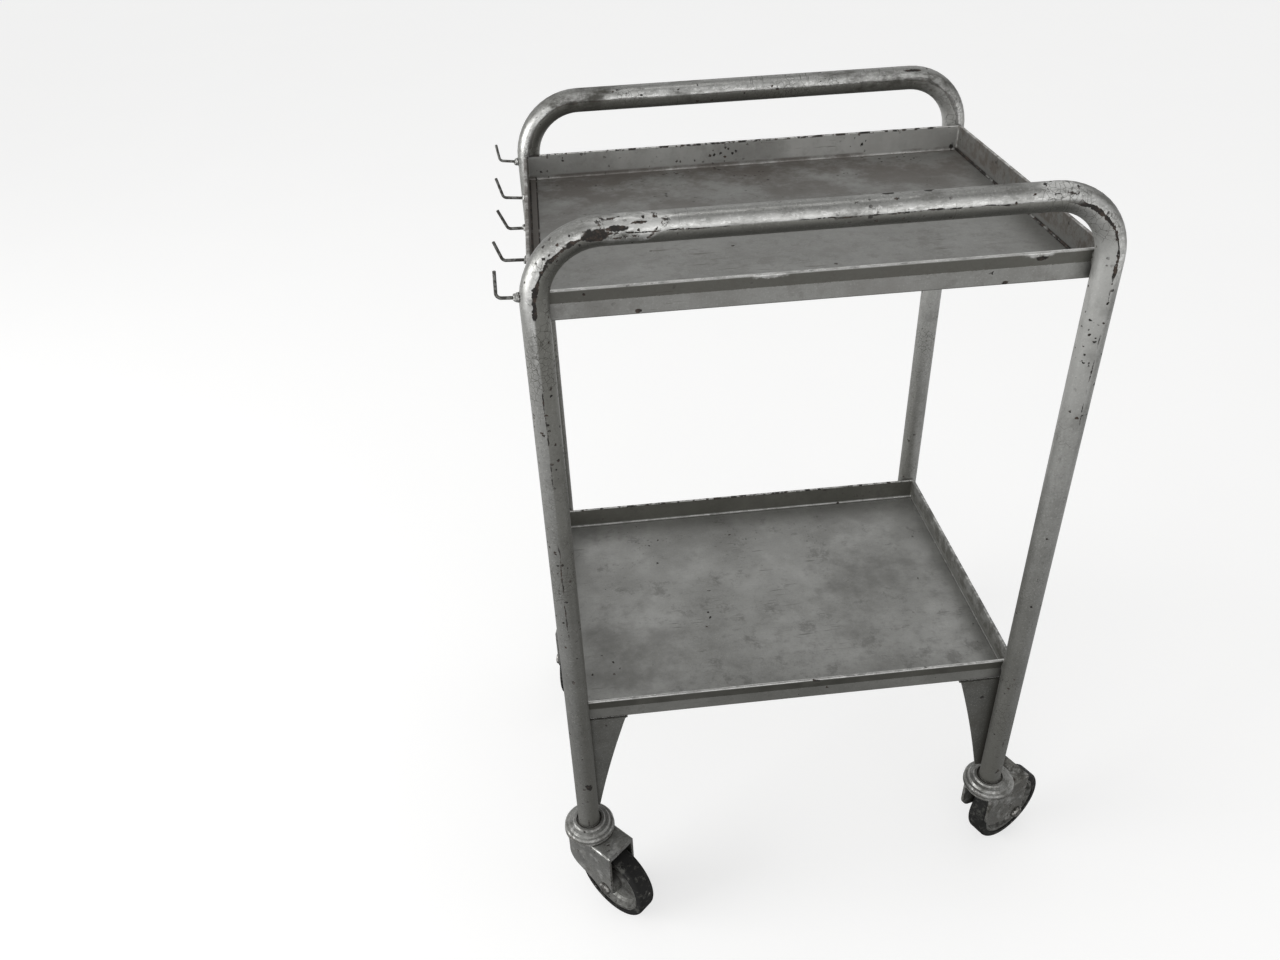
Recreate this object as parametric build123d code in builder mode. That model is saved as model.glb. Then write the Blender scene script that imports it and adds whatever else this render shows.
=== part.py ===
from build123d import *
from math import atan, cos, degrees, radians, sin, sqrt
import os

# A two-tier steel trolley on four swivel castors: two upside-down-U tube hoops, two sheet
# trays between them, wire hooks on the left end. Millimetres, X along the trolley's length,
# the front hoop towards -Y, Z up from the floor.

os.makedirs("parts", exist_ok=True)

# ---- driving dimensions -------------------------------------------------------------------
TUBE_OD = 25.4          # one-inch tube
TUBE_WALL = 1.6
LEG_SPACING = 498.0     # between the two legs of one hoop
HOOP_SPACING = 393.0    # between the front and rear hoops
RAIL_Z = 869.0          # height of the rail's centreline
LEG_END_Z = 129.5       # the tube ends here, on the castor's cup
HOOP_BEND_R = 60.0      # centreline radius of the two bends

SHEET = 1.5             # tray sheet
TRAY_LENGTH = 510.0
RIM_HEIGHT = 29.0
HEM_DROP = 13.0         # the hem folds out and this far back down
HEM_LEAN = 2.0          # and leans in by this much at its free edge
HEM_STEP = 0.4          # its free edge stands this far off the wall
RIM_TOP_WIDTH = 3.9
TRAY_CORNER_R = 2.0
TRAY_FOLD_R = 1.2       # rounding along the foot of the walls
RIM_CREST_R = 1.6       # and along the outside of the rim
UPPER_RIM_Z = 815.0
LOWER_RIM_Z = 313.5
UPPER_LEG_GAP = 10.0    # from a leg's centreline to the upper rim, which is notched round it
NOTCH_GAP = 0.4         # the notch stands this far off the tube, and the welds close it

GUSSET_SHEET = 3.0
GUSSET_REACH = 52.0     # from the leg's centre to the gusset's upper corner
GUSSET_FOOT = 14.8      # and to its lower corner
GUSSET_WAIST = (32.3, 73.0)     # a point on its hollow edge: reach, depth below the tray
GUSSET_DEPTH = 149.0
GUSSET_BEHIND = 4.0     # how far it runs on behind the leg's centre
GUSSET_FLARE = 3.5      # the hollow edge turns out to meet the tray

WIRE_R = 1.5
WIRE_BEND_R = 4.5

SWIVEL_TRAIL = 40.5     # axle behind the swivel axis
TYRE_R = 50.8           # four-inch wheel
TYRE_HALF = 12.0
TYRE_SHOULDER_R = 4.0
FORK_TOP_Z = 114.0
FORK_SHEET = 3.2
FORK_HALF = 21.0        # half the fork's outside width
CUP_R = 30.3
CUP_GAP = 1.0           # between the cup and the fork's top plate
CUP_GROOVE = 1.8        # a groove in its top, round the end of the tube
FIT = 0.05              # running clearance, radial

# ---- derived dimensions -------------------------------------------------------------------
TUBE_R = TUBE_OD / 2
TUBE_BORE_R = TUBE_R - TUBE_WALL
LOWER_LEG_GAP = TUBE_R                  # the lower rim just touches the legs
AXLE_Z = TYRE_R
WALL_INSET = HEM_LEAN + HEM_STEP

# name: (side along X, side along Y, heading in degrees of the wheel's trail from +X)
CORNERS = {
    "front_left": (-1, -1, -47.0),
    "front_right": (1, -1, 27.0),
    "rear_left": (-1, 1, -102.0),
    "rear_right": (1, 1, 65.0),
}

# name: (distance behind the front hoop, root, corner and tip), each of the last three as
# reach to the left of the leg's centre and drop below the rail's centreline
HOOKS = {
    "hook_1": (393.0, (12.9, 64.0), (33.0, 61.6), (35.6, 43.3)),
    "hook_2": (270.0, (4.8, 64.0), (28.0, 61.8), (33.8, 40.8)),
    "hook_3": (186.0, (4.8, 64.5), (23.0, 63.9), (31.6, 44.5)),
    "hook_4": (104.0, (4.8, 63.5), (27.5, 62.5), (34.3, 43.8)),
    "hook_5": (0.0, (12.9, 53.0), (31.2, 52.0), (30.0, 27.8)),
}


def wheel_reach(heading, toward):
    """How far a castor's tyre reaches from its swivel axis, towards a compass direction."""
    along = cos(radians(heading - toward))
    across = abs(sin(radians(heading - toward)))
    flat = (TYRE_R - TYRE_SHOULDER_R) * abs(along) + (TYRE_HALF - TYRE_SHOULDER_R) * across
    return SWIVEL_TRAIL * along + flat + TYRE_SHOULDER_R


def furthest(side_index, side, toward):
    """The furthest reach of the castors on one side of the trolley."""
    turned = [corner for corner in CORNERS.values() if corner[side_index] == side]
    return max(wheel_reach(corner[2], toward) for corner in turned)


# The origin is the middle of the whole footprint, so the frame's centre stands off it.
hook_reach = max(tip[0] for _, _, _, tip in HOOKS.values()) + WIRE_R
left_reach = max(hook_reach, furthest(0, -1, 180))
FRAME_X = (left_reach - furthest(0, 1, 0)) / 2
FRAME_Y = (furthest(1, -1, -90) - furthest(1, 1, 90)) / 2
LEFT_LEG_X = FRAME_X - LEG_SPACING / 2
FRONT_Y = FRAME_Y - HOOP_SPACING / 2


def save(piece, name):
    piece.label = name
    export_step(piece, f"parts/{name}.step")


def leg_axis(corner):
    """The X and Y of one leg's centreline."""
    side_x, side_y, _ = CORNERS[corner]
    return FRAME_X + side_x * LEG_SPACING / 2, FRAME_Y + side_y * HOOP_SPACING / 2


# ---- frame --------------------------------------------------------------------------------
def make_hoop(y):
    """One bent tube: leg, bend, top rail, bend, leg."""
    left, right = LEFT_LEG_X, LEFT_LEG_X + LEG_SPACING
    with BuildPart() as hoop:
        with BuildLine(Plane.XZ.offset(-y)) as route:
            FilletPolyline(
                (left, LEG_END_Z), (left, RAIL_Z), (right, RAIL_Z), (right, LEG_END_Z),
                radius=HOOP_BEND_R,
            )
        with BuildSketch(Plane(origin=route.line @ 0, z_dir=route.line % 0)):
            Circle(TUBE_R)
            Circle(TUBE_BORE_R, mode=Mode.SUBTRACT)
        sweep()
    return hoop.part


def tray_plane(z):
    return Plane(origin=(FRAME_X, FRAME_Y, z))


def make_tray(rim_z, leg_gap):
    """A folded tray: floor, four walls, and a hem folded out and down round the rim."""
    depth = HOOP_SPACING - 2 * leg_gap
    floor_z = rim_z - RIM_HEIGHT
    hem_z = rim_z - HEM_DROP
    hem_angle = degrees(atan(HEM_LEAN / HEM_DROP))
    with BuildPart() as tray:
        with BuildSketch(tray_plane(floor_z)):
            RectangleRounded(
                TRAY_LENGTH - 2 * WALL_INSET, depth - 2 * WALL_INSET, TRAY_CORNER_R
            )
        extrude(amount=RIM_HEIGHT - HEM_DROP)
        fillet(tray.faces().sort_by(Axis.Z)[0].edges(), radius=TRAY_FOLD_R)
        with BuildSketch(tray_plane(hem_z)):
            RectangleRounded(
                TRAY_LENGTH - 2 * HEM_LEAN, depth - 2 * HEM_LEAN, TRAY_CORNER_R
            )
        extrude(amount=HEM_DROP, taper=-hem_angle)
        fillet(tray.faces().sort_by(Axis.Z)[-1].edges(), radius=RIM_CREST_R)
        with BuildSketch(tray_plane(floor_z + SHEET)):
            RectangleRounded(
                TRAY_LENGTH - 2 * RIM_TOP_WIDTH, depth - 2 * RIM_TOP_WIDTH, TRAY_CORNER_R
            )
        extrude(amount=RIM_HEIGHT, mode=Mode.SUBTRACT)
        inner_floor = tray.faces().filter_by(Axis.Z).group_by(Axis.Z)[1]
        fillet(inner_floor.edges(), radius=TRAY_FOLD_R)
        fillet(tray.faces().sort_by(Axis.Z)[-1].inner_wires().edges(), radius=TRAY_FOLD_R)
        if leg_gap < TUBE_R:
            for corner in CORNERS:
                with Locations((*leg_axis(corner), rim_z)):
                    Cylinder(TUBE_R + NOTCH_GAP, 3 * RIM_HEIGHT, mode=Mode.SUBTRACT)
    return tray.part


def make_gusset(corner):
    """A triangular plate under the lower tray, flat against the inner side of a leg."""
    side_x, side_y, _ = CORNERS[corner]
    leg_x, leg_y = leg_axis(corner)
    top = LOWER_RIM_Z - RIM_HEIGHT
    foot = top - GUSSET_DEPTH
    waist_reach, waist_depth = GUSSET_WAIST
    face_y = leg_y - side_y * TUBE_R
    with BuildPart() as gusset:
        with BuildSketch(Plane(origin=(leg_x, face_y, 0), x_dir=(-side_x, 0, 0), z_dir=(0, side_x, 0))):
            with BuildLine():
                hollow = ThreePointArc(
                    (GUSSET_REACH, top - GUSSET_FLARE),
                    (waist_reach, top - waist_depth),
                    (GUSSET_FOOT, foot),
                )
                Line(hollow @ 1, (-GUSSET_BEHIND, foot))
                Line((-GUSSET_BEHIND, foot), (-GUSSET_BEHIND, top))
                Line((-GUSSET_BEHIND, top), (GUSSET_REACH + GUSSET_FLARE, top))
                ThreePointArc(
                    (GUSSET_REACH + GUSSET_FLARE, top),
                    (GUSSET_REACH + 0.3 * GUSSET_FLARE, top - 0.3 * GUSSET_FLARE),
                    hollow @ 0,
                )
            make_face()
        extrude(amount=-side_x * side_y * GUSSET_SHEET)
    return gusset.part


def make_hook(name):
    """A wire hook: a short arm out to the left, then a tip bent up."""
    behind, *route = HOOKS[name]
    points = [(LEFT_LEG_X - reach, RAIL_Z - drop) for reach, drop in route]
    with BuildPart() as hook:
        with BuildLine(Plane.XZ.offset(-(FRONT_Y + behind))) as wire:
            FilletPolyline(*points, radius=WIRE_BEND_R)
        with BuildSketch(Plane(origin=wire.line @ 0, z_dir=wire.line % 0)):
            Circle(WIRE_R)
        sweep()
        fillet(hook.faces().sort_by(Axis.Z)[-1].edges(), radius=0.6)
    return hook.part


# ---- welds --------------------------------------------------------------------------------
WELD_R = 2.2
TRAY_WELD_OFFSET = 6.0      # beside the line where the tube touches the rim
TRAY_WELD_LENGTH = 9.0
TRAY_WELD_DROP = 8.2        # its middle, below the rim
HOOK_WELD_R = 4.2
HOOK_WELD_LENGTH = 4.4
HOOK_WELD_SUNK = 1.4        # it starts this far past the hook's root, in the metal behind
GUSSET_WELD_LENGTH = 24.0
GUSSET_WELD_DEPTHS = (25.0, 115.0)
GUSSET_WELD_OUT = 1.4       # the bead's centre past the gusset's back edge
GUSSET_WELD_IN = 0.4        # and inside the face that touches the tube


def upright_bead(length):
    """A round-ended upright bead, added where it stands."""
    Cylinder(WELD_R, length)
    with Locations((0, 0, length / 2), (0, 0, -length / 2)):
        Sphere(WELD_R)


def make_tray_welds(rim_z, leg_gap, tray, hoops):
    """Two short beads beside each leg, where the rim meets the tube."""
    seam = max(TRAY_WELD_OFFSET, sqrt(TUBE_R ** 2 - leg_gap ** 2))
    with BuildPart() as welds:
        for corner, (_, side_y, _) in CORNERS.items():
            leg_x, leg_y = leg_axis(corner)
            for offset in (-seam, seam):
                if abs(leg_x + offset - FRAME_X) > TRAY_LENGTH / 2 - 1:
                    continue
                with Locations((leg_x + offset, leg_y - side_y * leg_gap, rim_z - TRAY_WELD_DROP)):
                    upright_bead(TRAY_WELD_LENGTH)
        add(tray, mode=Mode.SUBTRACT)
        add(hoops, mode=Mode.SUBTRACT)
    return welds.part


def make_gusset_welds(gussets, hoops):
    """Two stitches down the back edge of each gusset."""
    top = LOWER_RIM_Z - RIM_HEIGHT
    with BuildPart() as welds:
        for corner, (side_x, side_y, _) in CORNERS.items():
            leg_x, leg_y = leg_axis(corner)
            bead_x = leg_x + side_x * (GUSSET_BEHIND + GUSSET_WELD_OUT)
            bead_y = leg_y - side_y * (TUBE_R - GUSSET_WELD_IN)
            for depth in GUSSET_WELD_DEPTHS:
                with Locations((bead_x, bead_y, top - depth)):
                    upright_bead(GUSSET_WELD_LENGTH)
        add(gussets, mode=Mode.SUBTRACT)
        add(hoops, mode=Mode.SUBTRACT)
    return welds.part


def make_hook_welds(hooks, tray, hoops):
    """A tapered collar of weld round the root of each hook."""
    with BuildPart() as welds:
        for behind, (reach, drop), _, _ in HOOKS.values():
            inside = (LEFT_LEG_X - reach + HOOK_WELD_SUNK, FRONT_Y + behind, RAIL_Z - drop)
            with BuildSketch(Plane(origin=inside, z_dir=(-1, 0, 0))):
                Circle(HOOK_WELD_R)
            extrude(amount=HOOK_WELD_LENGTH, taper=20)
        add(hooks, mode=Mode.SUBTRACT)
        add(tray, mode=Mode.SUBTRACT)
        add(hoops, mode=Mode.SUBTRACT)
    return welds.part


# ---- castors ------------------------------------------------------------------------------
PLUG_LENGTH = 34.0
KINGPIN_R = 5.0
KINGPIN_HEAD_R = 9.0
KINGPIN_HEAD_HEIGHT = 6.5
KINGPIN_TOP_Z = LEG_END_Z + 28.0
BALL_R = 2.5
BALL_PITCH_R = 20.0
BALL_Z = FORK_TOP_Z + 0.6
BALL_COUNT = 20
BALL_SEAT = 0.05            # clearance in the cup's groove
BALL_RUN = 0.35             # clearance in the fork's groove

FORK_HEAD_R = 27.0
FORK_FRONT = SWIVEL_TRAIL + 10.5           # front edge of the fork, from the swivel axis
FORK_LIP = 7.0              # the front edge is folded down this far
FORK_BACK = 17.0            # back edge of the cheeks
FORK_BACK_Z = 80.0          # the back edge is upright down to here
FORK_ELBOW = (-13.8, 65.5)  # it turns through this point
FORK_HEEL = (-6.0, 58.0)    # and runs straight from here to the axle's eye
FORK_EYE_R = FORK_FRONT - SWIVEL_TRAIL
FORK_FOLD_R = 2.5

AXLE_R = 4.75
AXLE_HEAD_R = 8.0
AXLE_HEAD_HEIGHT = 4.5
AXLE_TAIL = 9.5
NUT_R = 8.1
NUT_HEIGHT = 7.0

HUB_HALF = FORK_HALF - FORK_SHEET - 0.4
BUSH_R = 7.5
HUB_R = 12.5
WEB_HALF = 2.2
WEB_EDGE_R = 36.0
RIM_HALF = 10.5
RIM_R = 42.0


def castor_plane(corner, z=0.0):
    """Level plane at a castor: origin on the swivel axis, local X along the wheel's trail."""
    x, y = leg_axis(corner)
    heading = radians(CORNERS[corner][2])
    return Plane(origin=(x, y, z), x_dir=(cos(heading), sin(heading), 0))


def side_plane(corner, offset=0.0):
    """Upright plane along the wheel's trail: local X is the trail, local Y is height."""
    base = castor_plane(corner)
    return Plane(origin=base.origin + base.y_dir * offset, x_dir=base.x_dir, z_dir=-base.y_dir)


def axle_plane(corner):
    """Upright plane through the axle: local X along the axle, local Y up."""
    base = castor_plane(corner, AXLE_Z)
    centre = base.origin + base.x_dir * SWIVEL_TRAIL
    return Plane(origin=centre, x_dir=base.y_dir, z_dir=base.x_dir)


def axle_face(corner, across):
    """Upright plane square to the axle, this far along it from the wheel's centre."""
    base = axle_plane(corner)
    return Plane(origin=base.origin + base.x_dir * across, x_dir=base.z_dir, z_dir=base.x_dir)


def axle_line(corner):
    plane = axle_plane(corner)
    return Axis(plane.origin, plane.x_dir)


def swivel_line(corner):
    x, y = leg_axis(corner)
    return Axis((x, y, 0), (0, 0, 1))


def make_leg_plug(corner):
    """Turned plug pressed into the leg, bored for the kingpin."""
    with BuildPart() as plug:
        with BuildSketch(castor_plane(corner, LEG_END_Z)):
            Circle(TUBE_BORE_R)
        extrude(amount=PLUG_LENGTH)
        chamfer(plug.faces().sort_by(Axis.Z)[-1].edges(), length=1.0)
        with BuildSketch(castor_plane(corner, LEG_END_Z)):
            Circle(KINGPIN_R)
        extrude(amount=PLUG_LENGTH, mode=Mode.SUBTRACT)
    return plug.part


def make_swivel_cup(corner):
    """Pressed bearing cup with ridged sides, clamped under the end of the leg."""
    top = LEG_END_Z
    foot = FORK_TOP_Z + CUP_GAP
    profile = [
        (KINGPIN_R, foot), (CUP_R - 0.8, foot), (CUP_R, foot + 0.8), (CUP_R, foot + 2.2),
        (CUP_R - 1.6, foot + 3.0), (CUP_R - 1.6, foot + 3.8), (CUP_R - 0.5, foot + 4.6),
        (CUP_R - 0.5, foot + 6.6), (CUP_R - 2.0, foot + 8.2), (CUP_R - 4.6, foot + 8.8),
        (CUP_R - 5.4, foot + 9.8), (CUP_R - 6.6, foot + 11.6), (CUP_R - 10.5, foot + 12.4),
        (CUP_R - 12.0, top), (TUBE_R + 2.8, top), (TUBE_R + 2.2, top - CUP_GROOVE),
        (TUBE_R + 1.0, top - CUP_GROOVE), (TUBE_R + 0.4, top), (KINGPIN_R, top),
    ]
    with BuildPart() as cup:
        with BuildSketch(side_plane(corner)):
            Polygon(*profile, align=None)
        revolve(axis=swivel_line(corner))
        with Locations(castor_plane(corner, BALL_Z)):
            Torus(BALL_PITCH_R, BALL_R + BALL_SEAT, mode=Mode.SUBTRACT)
    return cup.part


def make_kingpin(corner):
    """Swivel pin: pressed into plug and cup, with a round head under the fork."""
    head_top = FORK_TOP_Z - FORK_SHEET - 0.4
    head_foot = head_top - KINGPIN_HEAD_HEIGHT
    with BuildPart() as pin:
        with BuildSketch(castor_plane(corner, head_foot)):
            Circle(KINGPIN_HEAD_R)
        extrude(amount=KINGPIN_HEAD_HEIGHT)
        fillet(pin.faces().sort_by(Axis.Z)[0].edges(), radius=3.5)
        with BuildSketch(castor_plane(corner, head_top)):
            Circle(KINGPIN_R)
        extrude(amount=KINGPIN_TOP_Z - head_top)
        chamfer(pin.faces().sort_by(Axis.Z)[-1].edges(), length=0.8)
    return pin.part


def make_swivel_balls(corner):
    """The ring of loose balls between cup and fork."""
    with BuildPart() as balls:
        with Locations(castor_plane(corner, BALL_Z)):
            with PolarLocations(BALL_PITCH_R, BALL_COUNT):
                Sphere(BALL_R)
    return balls.part


def fork_cheek(plane):
    """Face of one cheek: upright front edge, round eye at the axle, sloping back edge."""
    with BuildSketch(plane) as cheek:
        with BuildLine():
            Line((-FORK_BACK, FORK_TOP_Z), (FORK_FRONT, FORK_TOP_Z))
            Line((FORK_FRONT, FORK_TOP_Z), (FORK_FRONT, AXLE_Z))
            eye = CenterArc((SWIVEL_TRAIL, AXLE_Z), FORK_EYE_R, 0, -112)
            Line(eye @ 1, FORK_HEEL)
            ThreePointArc(FORK_HEEL, FORK_ELBOW, (-FORK_BACK, FORK_BACK_Z))
            Line((-FORK_BACK, FORK_BACK_Z), (-FORK_BACK, FORK_TOP_Z))
        make_face()
    return cheek.sketch


def make_fork(corner):
    """Pressed fork: round-backed top plate, two cheeks and a small folded front lip."""
    top = castor_plane(corner, FORK_TOP_Z)
    with BuildPart() as fork:
        with BuildSketch(top):
            Circle(FORK_HEAD_R)
            with Locations((FORK_FRONT / 2, 0)):
                Rectangle(FORK_FRONT, 2 * FORK_HALF)
            Rectangle(4 * FORK_FRONT, 2 * FORK_HALF, mode=Mode.INTERSECT)
        extrude(amount=-FORK_SHEET)
        extrude(fork_cheek(side_plane(corner, FORK_HALF)), amount=FORK_SHEET)
        extrude(fork_cheek(side_plane(corner, -FORK_HALF)), amount=-FORK_SHEET)
        with BuildSketch(top):
            with Locations((FORK_FRONT - FORK_SHEET / 2, 0)):
                Rectangle(FORK_SHEET, 2 * FORK_HALF)
        extrude(amount=-FORK_LIP)
        folds = fork.edges().filter_by(Axis((0, 0, 0), top.x_dir)).group_by(Axis.Z)[-1]
        fillet(folds, radius=FORK_FOLD_R)
        with BuildSketch(top):
            Circle(KINGPIN_R + FIT)
        extrude(amount=-FORK_SHEET, mode=Mode.SUBTRACT)
        with Locations(castor_plane(corner, BALL_Z)):
            Torus(BALL_PITCH_R, BALL_R + BALL_RUN, mode=Mode.SUBTRACT)
        with BuildSketch(side_plane(corner)):
            with Locations((SWIVEL_TRAIL, AXLE_Z)):
                Circle(AXLE_R + FIT)
        extrude(amount=FORK_HALF, both=True, mode=Mode.SUBTRACT)
    return fork.part


def make_axle(corner):
    """Axle bolt: round head on one cheek, plain shank, chamfered tail through the nut."""
    line = axle_line(corner)
    with BuildPart() as axle:
        with BuildSketch(axle_face(corner, -FORK_HALF)):
            Circle(AXLE_HEAD_R)
        extrude(amount=-AXLE_HEAD_HEIGHT)
        fillet(axle.faces().sort_by(line)[0].edges(), radius=3.0)
        with BuildSketch(axle_face(corner, -FORK_HALF)):
            Circle(AXLE_R)
        extrude(amount=2 * FORK_HALF + AXLE_TAIL)
        chamfer(axle.faces().sort_by(line)[-1].edges(), length=1.0)
    return axle.part


def make_axle_nut(corner):
    """Hexagon nut on the far cheek, its outer corners turned off."""
    with BuildPart() as nut:
        with BuildSketch(axle_face(corner, FORK_HALF)):
            RegularPolygon(NUT_R, 6)
        extrude(amount=NUT_HEIGHT)
        with BuildSketch(axle_face(corner, FORK_HALF)):
            Circle(NUT_R + 0.4)
        extrude(amount=NUT_HEIGHT, taper=10, mode=Mode.INTERSECT)
        with BuildSketch(axle_face(corner, FORK_HALF)):
            Circle(AXLE_R)
        extrude(amount=NUT_HEIGHT, mode=Mode.SUBTRACT)
    return nut.part


def make_wheel(corner):
    """Cast wheel centre: long hub, thin web set in from both faces, flat rim."""
    half = [
        (HUB_HALF, BUSH_R), (HUB_HALF, HUB_R - 1), (HUB_HALF - 1, HUB_R),
        (WEB_HALF + 3, HUB_R + 1), (WEB_HALF, HUB_R + 4), (WEB_HALF, WEB_EDGE_R - 3),
        (WEB_HALF + 3, WEB_EDGE_R), (RIM_HALF, WEB_EDGE_R + 2.5), (RIM_HALF, RIM_R),
    ]
    outline = half + [(-across, radius) for across, radius in reversed(half)]
    with BuildPart() as wheel:
        with BuildSketch(axle_plane(corner)):
            Polygon(*outline, align=None)
        revolve(axis=axle_line(corner))
    return wheel.part


def make_wheel_bush(corner):
    with BuildPart() as bush:
        with BuildSketch(axle_plane(corner)):
            with Locations((0, (AXLE_R + FIT + BUSH_R) / 2)):
                Rectangle(2 * HUB_HALF, BUSH_R - AXLE_R - FIT)
        revolve(axis=axle_line(corner))
    return bush.part


def make_tyre(corner):
    """Solid rubber tyre with rounded shoulders."""
    with BuildPart() as tyre:
        with BuildSketch(axle_plane(corner)) as section:
            with Locations((0, (RIM_R + TYRE_R) / 2)):
                Rectangle(2 * TYRE_HALF, TYRE_R - RIM_R)
            fillet(section.vertices().group_by(Axis.Y)[-1], radius=TYRE_SHOULDER_R)
        revolve(axis=axle_line(corner))
    return tyre.part


# ---- build and write ----------------------------------------------------------------------
front_hoop = make_hoop(FRONT_Y)
rear_hoop = make_hoop(FRONT_Y + HOOP_SPACING)
upper_tray = make_tray(UPPER_RIM_Z, UPPER_LEG_GAP)
lower_tray = make_tray(LOWER_RIM_Z, LOWER_LEG_GAP)
gussets = {corner: make_gusset(corner) for corner in CORNERS}
hooks = {name: make_hook(name) for name in HOOKS}
both_hoops = [front_hoop, rear_hoop]

upper_welds = make_tray_welds(UPPER_RIM_Z, UPPER_LEG_GAP, upper_tray, both_hoops)
lower_welds = make_tray_welds(LOWER_RIM_Z, LOWER_LEG_GAP, lower_tray, both_hoops)
gusset_welds = make_gusset_welds(list(gussets.values()), both_hoops)
hook_welds = make_hook_welds(list(hooks.values()), upper_tray, both_hoops)

save(front_hoop, "front_hoop")
save(rear_hoop, "rear_hoop")
save(upper_tray, "upper_tray")
save(lower_tray, "lower_tray")
save(upper_welds, "upper_tray_welds")
save(lower_welds, "lower_tray_welds")
save(gusset_welds, "gusset_welds")
save(hook_welds, "hook_welds")
for name, hook in hooks.items():
    save(hook, name)

CASTOR_PIECES = {
    "leg_plug": make_leg_plug,
    "swivel_cup": make_swivel_cup,
    "kingpin": make_kingpin,
    "swivel_balls": make_swivel_balls,
    "fork": make_fork,
    "axle": make_axle,
    "axle_nut": make_axle_nut,
    "wheel": make_wheel,
    "wheel_bush": make_wheel_bush,
    "tyre": make_tyre,
}
for corner in CORNERS:
    save(gussets[corner], f"gusset_{corner}")
    for piece, make in CASTOR_PIECES.items():
        save(make(corner), f"{piece}_{corner}")

print("frame centre", round(FRAME_X, 4), round(FRAME_Y, 4))
for corner in CORNERS:
    swivel = leg_axis(corner)
    axle = axle_line(corner)
    print(corner, "swivel", [round(v, 4) for v in swivel],
          "axle", [round(v, 4) for v in axle.position], [round(v, 6) for v in axle.direction])
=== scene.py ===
from math import cos, radians, sin

import bpy
from mathutils import Matrix, Vector


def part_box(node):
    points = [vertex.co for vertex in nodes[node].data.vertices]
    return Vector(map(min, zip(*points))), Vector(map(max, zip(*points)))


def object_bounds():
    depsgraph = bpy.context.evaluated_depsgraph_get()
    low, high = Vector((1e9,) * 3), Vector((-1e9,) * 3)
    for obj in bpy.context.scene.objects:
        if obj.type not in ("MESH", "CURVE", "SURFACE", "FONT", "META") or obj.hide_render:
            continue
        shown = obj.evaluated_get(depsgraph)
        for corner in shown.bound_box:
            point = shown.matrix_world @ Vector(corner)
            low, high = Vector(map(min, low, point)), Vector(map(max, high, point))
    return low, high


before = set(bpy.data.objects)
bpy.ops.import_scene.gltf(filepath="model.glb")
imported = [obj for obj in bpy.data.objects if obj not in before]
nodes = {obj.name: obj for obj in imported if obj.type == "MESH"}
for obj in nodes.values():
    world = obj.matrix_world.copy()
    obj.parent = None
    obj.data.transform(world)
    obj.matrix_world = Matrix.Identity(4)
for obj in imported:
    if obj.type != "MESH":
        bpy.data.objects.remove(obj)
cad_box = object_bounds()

# A two-tier steel trolley in worn aluminium paint. Metres, in the part's own frame: X along
# the length, the front hoop towards -Y, Z up from the floor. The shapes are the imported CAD
# nodes, with modifiers that make the welds uneven; this script gives them their finish.

CORNERS = ("front_left", "front_right", "rear_left", "rear_right")

# ---- places taken from the frame ----------------------------------------------------------
HOOP_LOW, HOOP_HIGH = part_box("front_hoop")
REAR_HOOP_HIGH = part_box("rear_hoop")[1]
TUBE_R = (HOOP_HIGH.y - HOOP_LOW.y) / 2
LEFT_X = HOOP_LOW.x + TUBE_R
RIGHT_X = HOOP_HIGH.x - TUBE_R
FRONT_Y = HOOP_LOW.y + TUBE_R
REAR_Y = REAR_HOOP_HIGH.y - TUBE_R
RAIL_Z = HOOP_HIGH.z - TUBE_R
UPPER_LOW, UPPER_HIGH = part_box("upper_tray")
LOWER_LOW, LOWER_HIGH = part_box("lower_tray")
MIDDLE_X = (LEFT_X + RIGHT_X) / 2
HALF_X = (RIGHT_X - LEFT_X) / 2
BEND_R = 0.060           # centreline radius of the hoops' bends
SHEET = 0.0015           # thickness of the trays
HEM_DROP = 0.013         # how far their hem comes down from the rim
WALL_IN = 0.0052         # from the rim's outer edge to just past the inside of the wall
LEFT_WALL_SHADE_EDGE = 0.0120          # and to the edge of the band of painted shade on the floor along the left wall

# ---- colours, linear ----------------------------------------------------------------------
SILVER = (0.335, 0.335, 0.322)
SILVER_DULL = (0.235, 0.236, 0.222)
SILVER_DARK = (0.170, 0.170, 0.158)
SILVER_FRESH = (0.425, 0.425, 0.410)
BARE_STEEL = (0.50, 0.49, 0.47)
# SHADE_OLIVE: the colour that painted shade darkens the paint towards
SHADE_OLIVE = (0.130, 0.128, 0.108)
# GRIME_AND_SHADE and BROWN_GRIME_AND_SHADE colour both soiling and painted shade
GRIME_AND_SHADE = (0.050, 0.048, 0.039)
BROWN_GRIME_AND_SHADE = (0.072, 0.056, 0.043)
RUST_DARK = (0.012, 0.010, 0.008)
RUST_BROWN = (0.052, 0.036, 0.027)
# FLAKE_AND_GLINT: near-white for bright flakes of paint and for painted glints
FLAKE_AND_GLINT = (0.86, 0.86, 0.84)


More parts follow.
